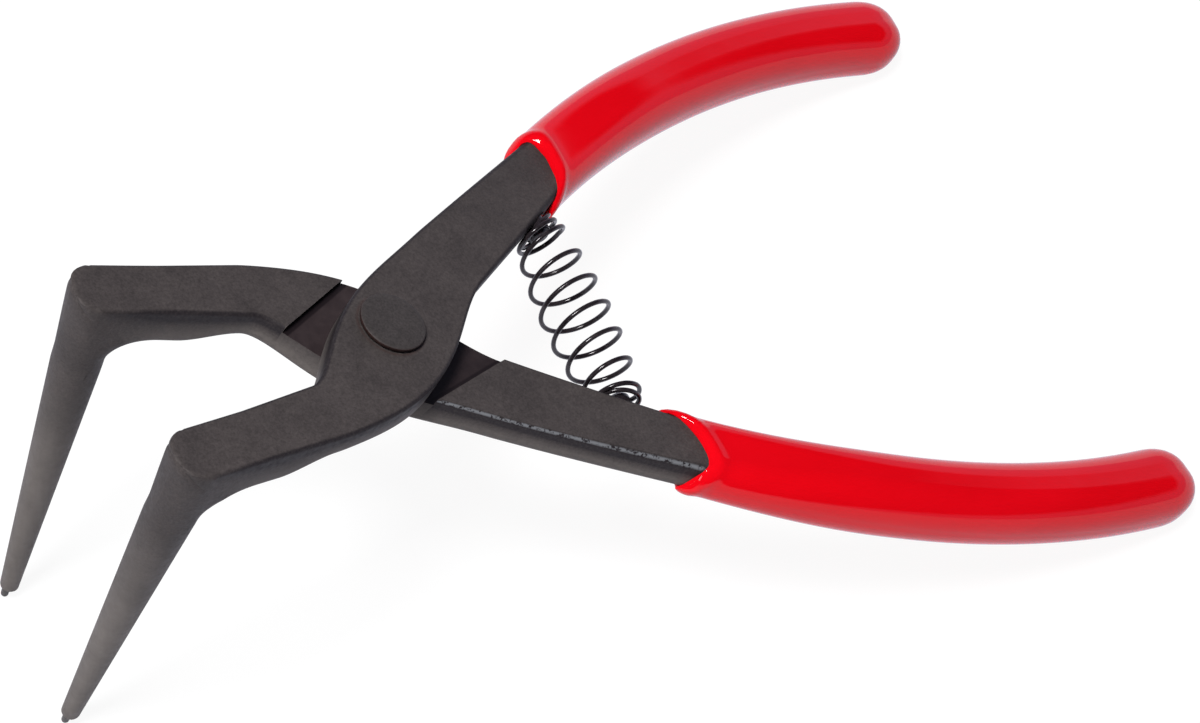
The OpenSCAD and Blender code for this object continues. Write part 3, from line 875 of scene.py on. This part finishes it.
# Rivet with a lightly crowned head in front and a plain head behind
def make_rivet():
    seat = FRONT_FACE + TURN_GAP
    top = seat + HEAD_H
    bottom = REAR_UNDER - HEAD_H
    undercut = HEAD_H / 3
    outline = [(AXIS_R, bottom), (REAR_HEAD_R, bottom), (REAR_HEAD_R, REAR_UNDER), (RIVET_R, REAR_UNDER),
               (RIVET_R, seat), (HEAD_R - undercut, seat), (HEAD_R, seat + undercut), (HEAD_R, top - CROWN),
               (HEAD_R * CROWN_SHARE, top - CROWN_FALL), (AXIS_R, top)]
    profile = rounded(outline, RIVET_ROUND)
    obj = lathe("rivet", profile, (0, 0, 0), UP, RIVET_SEGMENTS)
    obj.data.set_sharp_from_angle(angle=radians(TURNED_CREASE))
    # Painted shade: the sides of both heads and the front head's undercut are darkened to a reddish
    # near-black
    under_crown = [1 if r > RIVET_R and h < top - 2 * CROWN else 0 for r, h in profile]
    add_values(obj, "wall", np.repeat(under_crown, RIVET_SEGMENTS))
    finish_piece(obj, RIVET_STEEL, "rear_half", "pivot_rivet")


make_rivet()


# Grips
def grip_half(s, mouth, full):
    """Half of the grip's width or thickness, with the bead round its mouth."""
    past_lip = max(s - GRIP_AT - LIP, 0) / BEAD_LEN
    return mix(mouth, full, smooth((s - GRIP_AT) / MOUTH_RUN)) / 2 + BEAD * exp(-past_lip ** 2)


def grip_ring(level, s, inset, shrink, share):
    """Points of the grip's skin, led forward by a share of the mouth's slant and bow."""
    w = grip_half(s, GRIP_MOUTH_W, GRIP_W) * shrink - inset
    h = grip_half(s, GRIP_MOUTH_T, GRIP_T) * shrink - inset
    r = GRIP_ROUND * h - LIP_SQUARE * inset
    a = handle_heading(s)
    z = arm_mid(s, *level)
    part = flat_section(handle_point(s), a, z - h, z + h, w, r, r)
    points = ring(part)[0]
    inward = (points - part["origin"]) @ part["side"]
    lead = (inward * tan(radians(HANDLE_ANGLE)) + (z - points[:, 2]) * tan(radians(MOUTH_TILT))
            + MOUTH_BOW * np.abs(inward / w) ** BOW_POWER)
    return points - share * lead[:, None] * in_space(heading_of(a), 0)


def make_grip(name, node, body, level, mirrored):
    start = GRIP_AT + LIP
    end = GRIP_END - DOME_LEN
    rows = [grip_ring(level, end + DOME_LEN * t, 0, (1 - t ** DOME_POWER) ** (1 / DOME_POWER), 0)
            for t in np.sin(DOME_TURNS)]
    for i in range(GRIP_ROWS + 1):
        s = mix(start, end, (1 - i / GRIP_ROWS) ** GRIP_SPACING)
        rows.append(grip_ring(level, s, 0, 1, smooth(1 - (s - start) / MOUTH_FADE)))
    rows += [grip_ring(level, start - LIP * sin(a), LIP * (1 - cos(a)), 1, 1) for a in LIP_TURNS]
    obj = loft(name, rows, mirrored)
    obj.data.materials.append(VINYL)
    core_end = ARM_LEN + HANDLE_CURVE + GRIP_CLEAR
    core = [ring(arm_section(s, *level, GRIP_CLEAR))[0]
            for s in np.linspace(core_end, GRIP_AT - 2 * MOUTH_REACH, CORE_ROWS)]
    carve(obj, [loft(name + "_core", core, mirrored)])
    finish_piece(obj, VINYL, body, node)


make_grip("front_grip_vinyl", "front_grip", "front_half", (FRONT_FACE, FRONT_UNDER), False)
make_grip("rear_grip_vinyl", "rear_grip", "rear_half", (REAR_FACE, REAR_UNDER), True)


# Return spring between the two halves
EDGE_SLOPE = tan(radians(HANDLE_ANGLE) + atan(ARM_TAPER))
SPRING_HALF = SEAT[1] - (SEAT_GAP + WIRE_D / 2) * sqrt(1 + EDGE_SLOPE ** 2)
CLOSE_RISE = CLOSE_SHARE * COILS * CLOSE_PITCH


def coil_rise(t):
    if t < CLOSE_SHARE:
        return mix(-SPRING_HALF, CLOSE_RISE - SPRING_HALF, t / CLOSE_SHARE)
    if t > 1 - CLOSE_SHARE:
        return mix(SPRING_HALF - CLOSE_RISE, SPRING_HALF, (t - 1 + CLOSE_SHARE) / CLOSE_SHARE)
    return mix(CLOSE_RISE - SPRING_HALF, SPRING_HALF - CLOSE_RISE, (t - CLOSE_SHARE) / (1 - 2 * CLOSE_SHARE))


def coil_centre(t):
    rise = coil_rise(t)
    level = mix(arm_mid(SEAT_AT, REAR_FACE, REAR_UNDER), arm_mid(SEAT_AT, FRONT_FACE, FRONT_UNDER),
                (1 + rise / SPRING_HALF) / 2)
    return np.array([SEAT[0], rise, level])


def coil_point(t):
    r = (mix(COIL_END_D, COIL_MID_D, sin(pi * t) ** BARREL_POWER) - WIRE_D) / 2
    turn = -2 * pi * COILS * t
    tilt = EDGE_SLOPE * (2 * t - 1) ** 3
    return coil_centre(t) + r * np.array([cos(turn), tilt * cos(turn), sin(turn)])


def make_spring():
    steps = WIRE_STEPS * COILS
    line = [coil_point(i / steps) for i in range(steps + 1)]
    rows = []
    for i, p in enumerate(line):
        way = line[min(i + 1, steps)] - line[max(i - 1, 0)]
        way = way / np.linalg.norm(way)
        out = p - coil_centre(i / steps)
        out = out - (out @ way) * way
        out = out / np.linalg.norm(out)
        side = np.cross(way, out)
        rows.append(np.array([p + WIRE_D / 2 * (cos(a) * out + sin(a) * side)
                              for a in np.linspace(0, 2 * pi, WIRE_SIDES, endpoint=False)]))
    obj = loft("spring_coil", rows)
    obj.data.materials.append(WIRE)
    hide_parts("return_spring")
    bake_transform(obj)


make_spring()


# Pegs and tip pins
def make_peg(name, node, body, face, under, mirrored):
    bevel = PEG_R / 3
    outline = [(AXIS_R, -PEG_IN), (PEG_R, -PEG_IN), (PEG_R, PEG_OUT - bevel), (PEG_R - bevel, PEG_OUT),
               (AXIS_R, PEG_OUT)]
    obj = lathe(name, rounded(outline, PEG_ROUND), seat_place(face, under), SEAT_WAY, HOLE_SEGMENTS, mirrored)
    obj.data.set_sharp_from_angle(angle=radians(TURNED_CREASE))
    finish_piece(obj, WIRE, body, node)


def make_pin(name, node, body, face, mirrored):
    leg = Leg(face)
    tip = [(PIN_R * cos(a), PIN_OUT - PIN_R + PIN_R * sin(a)) for a in PIN_TURNS]
    seat = PIN_SEAT - PIN_BARE
    outline = [(AXIS_R, -PIN_IN), (TANG_R, -PIN_IN), (TANG_R, seat), (PIN_R, seat)] + tip
    obj = lathe(name, outline, pin_base(leg), leg.way, PIN_SEGMENTS, mirrored)
    obj.data.set_sharp_from_angle(angle=radians(PIN_CREASE))
    finish_piece(obj, PIN_STEEL, body, node)


make_peg("front_peg", "front_spring_peg", "front_half", FRONT_FACE, FRONT_UNDER, False)
make_peg("rear_peg", "rear_spring_peg", "rear_half", REAR_FACE, REAR_UNDER, True)
make_pin("front_pin", "front_tip_pin", "front_half", FRONT_FACE, False)
make_pin("rear_pin", "rear_tip_pin", "rear_half", REAR_FACE, True)


# White table in cool light that shows as white to the camera and keeps a soft shadow
FLOOR_SIZE = 6
FLOOR_LEVEL = -0.0002
FLOOR_GREY = (0.75, 0.75, 0.75, 1)
GLOW = 1.06
GLOW_SHARE = 0.88
WHITE = (1, 1, 1)
DAYLIGHT = (0.86, 0.87, 1)


def make_floor():
    corners = ((-1, -1), (1, -1), (1, 1), (-1, 1))
    mesh = bpy.data.meshes.new("floor")
    mesh.from_pydata([(x * FLOOR_SIZE, y * FLOOR_SIZE, FLOOR_LEVEL) for x, y in corners], [], [(0, 1, 2, 3)])
    floor = bpy.data.objects.new("floor", mesh)
    bpy.context.scene.collection.objects.link(floor)
    mat = bpy.data.materials.new("table")
    node, link = open_tree(mat)
    out = node("OutputMaterial")
    plain = node("BsdfDiffuse", Color=FLOOR_GREY)
    white = node("Emission", Strength=GLOW)
    path = node("LightPath")
    seen = node("Math", operation="ADD", use_clamp=True)
    both = node("MixShader")
    link(path.outputs["Is Camera Ray"], seen.inputs[0])
    link(path.outputs["Is Glossy Ray"], seen.inputs[1])
    link(blend_colour(node, link, path.outputs["Is Glossy Ray"], WHITE, DAYLIGHT), white.inputs["Color"])
    link(calc(node, link, seen.outputs[0], GLOW_SHARE), both.inputs[0])
    link(plain.outputs[0], both.inputs[1])
    link(white.outputs[0], both.inputs[2])
    link(both.outputs[0], out.inputs[0])
    mesh.materials.append(mat)


make_floor()


# World: low cool screens round the table, higher behind the handles, and a dark room above them
SCREEN = 0.6
ROOM = 0.02
SCREEN_LOW = 0.09
SCREEN_HIGH = 0.2
SCREEN_TILT = (-0.13, -0.08, 1)
SCREEN_TINT = (0.66, 0.66, 1, 1)


def make_world():
    world = bpy.data.worlds.new("screens")
    bpy.context.scene.world = world
    node, link = open_tree(world)
    out = node("OutputWorld")
    coords = node("TexCoord")
    height = node("VectorMath", operation="DOT_PRODUCT")
    height.inputs[1].default_value = SCREEN_TILT
    fade = node("MapRange", interpolation_type="SMOOTHSTEP")
    limits = {"From Min": SCREEN_LOW, "From Max": SCREEN_HIGH, "To Min": SCREEN, "To Max": ROOM}
    for key, value in limits.items():
        fade.inputs[key].default_value = value
    around = node("Background", Color=SCREEN_TINT)
    white = node("Background", Color=(*WHITE, 1))
    path = node("LightPath")
    both = node("MixShader")
    link(coords.outputs["Generated"], height.inputs[0])
    link(height.outputs["Value"], fade.inputs["Value"])
    link(fade.outputs["Result"], around.inputs["Strength"])
    link(path.outputs["Is Camera Ray"], both.inputs[0])
    link(around.outputs[0], both.inputs[1])
    link(white.outputs[0], both.inputs[2])
    link(both.outputs[0], out.inputs[0])


make_world()


# Camera fitted to the photo: axes in the tool's own frame, and the pixel and distance of the rivet's face
IMAGE_W = 1200
IMAGE_H = 723
FOCAL = 3600
SENSOR = 36
RIGHT = np.array([0.76689, -0.45893, 0.44863])
TOP = np.array([0.11928, 0.78879, 0.60298])
AHEAD = np.array([0.63060, 0.40891, -0.65965])
PIVOT_PIXEL = (390.8, 325.52)
PIVOT_DEPTH = 552.90
CLIP_END = 20
camera_data = bpy.data.cameras.new("camera")
camera_data.sensor_width = SENSOR
camera_data.sensor_fit = "HORIZONTAL"
camera_data.lens = FOCAL * SENSOR / IMAGE_W
camera_data.clip_end = CLIP_END
camera = bpy.data.objects.new("camera", camera_data)
bpy.context.scene.collection.objects.link(camera)
right_share = (PIVOT_PIXEL[0] - IMAGE_W / 2) / FOCAL
down_share = (PIVOT_PIXEL[1] - IMAGE_H / 2) / FOCAL
sight = right_share * RIGHT - down_share * TOP + AHEAD
eye = np.array([0, 0, FRONT_FACE]) - PIVOT_DEPTH * sight
pose = Matrix((RIGHT, TOP, -AHEAD)).transposed().to_4x4()
pose.translation = Vector(eye * MM)
camera.matrix_world = (tool @ pose).normalized()
bpy.context.scene.camera = camera


# Lamps: a small key light overhead and a weak one on the left
AIM = (0, 0, 0.03)


def area_lamp(name, place, size, watts):
    data = bpy.data.lights.new(name, "AREA")
    data.shape = "SQUARE"
    data.size = size
    data.energy = watts
    lamp = bpy.data.objects.new(name, data)
    lamp.location = place
    lamp.rotation_euler = (Vector(AIM) - Vector(place)).to_track_quat("-Z", "Y").to_euler()
    bpy.context.scene.collection.objects.link(lamp)


area_lamp("key", place=(-0.37, -0.07, 1.4), size=0.37, watts=24.5)
area_lamp("left", place=(-0.8, -0.15, 0.35), size=0.3, watts=1.6)

bpy.context.scene.view_settings.view_transform = "Standard"
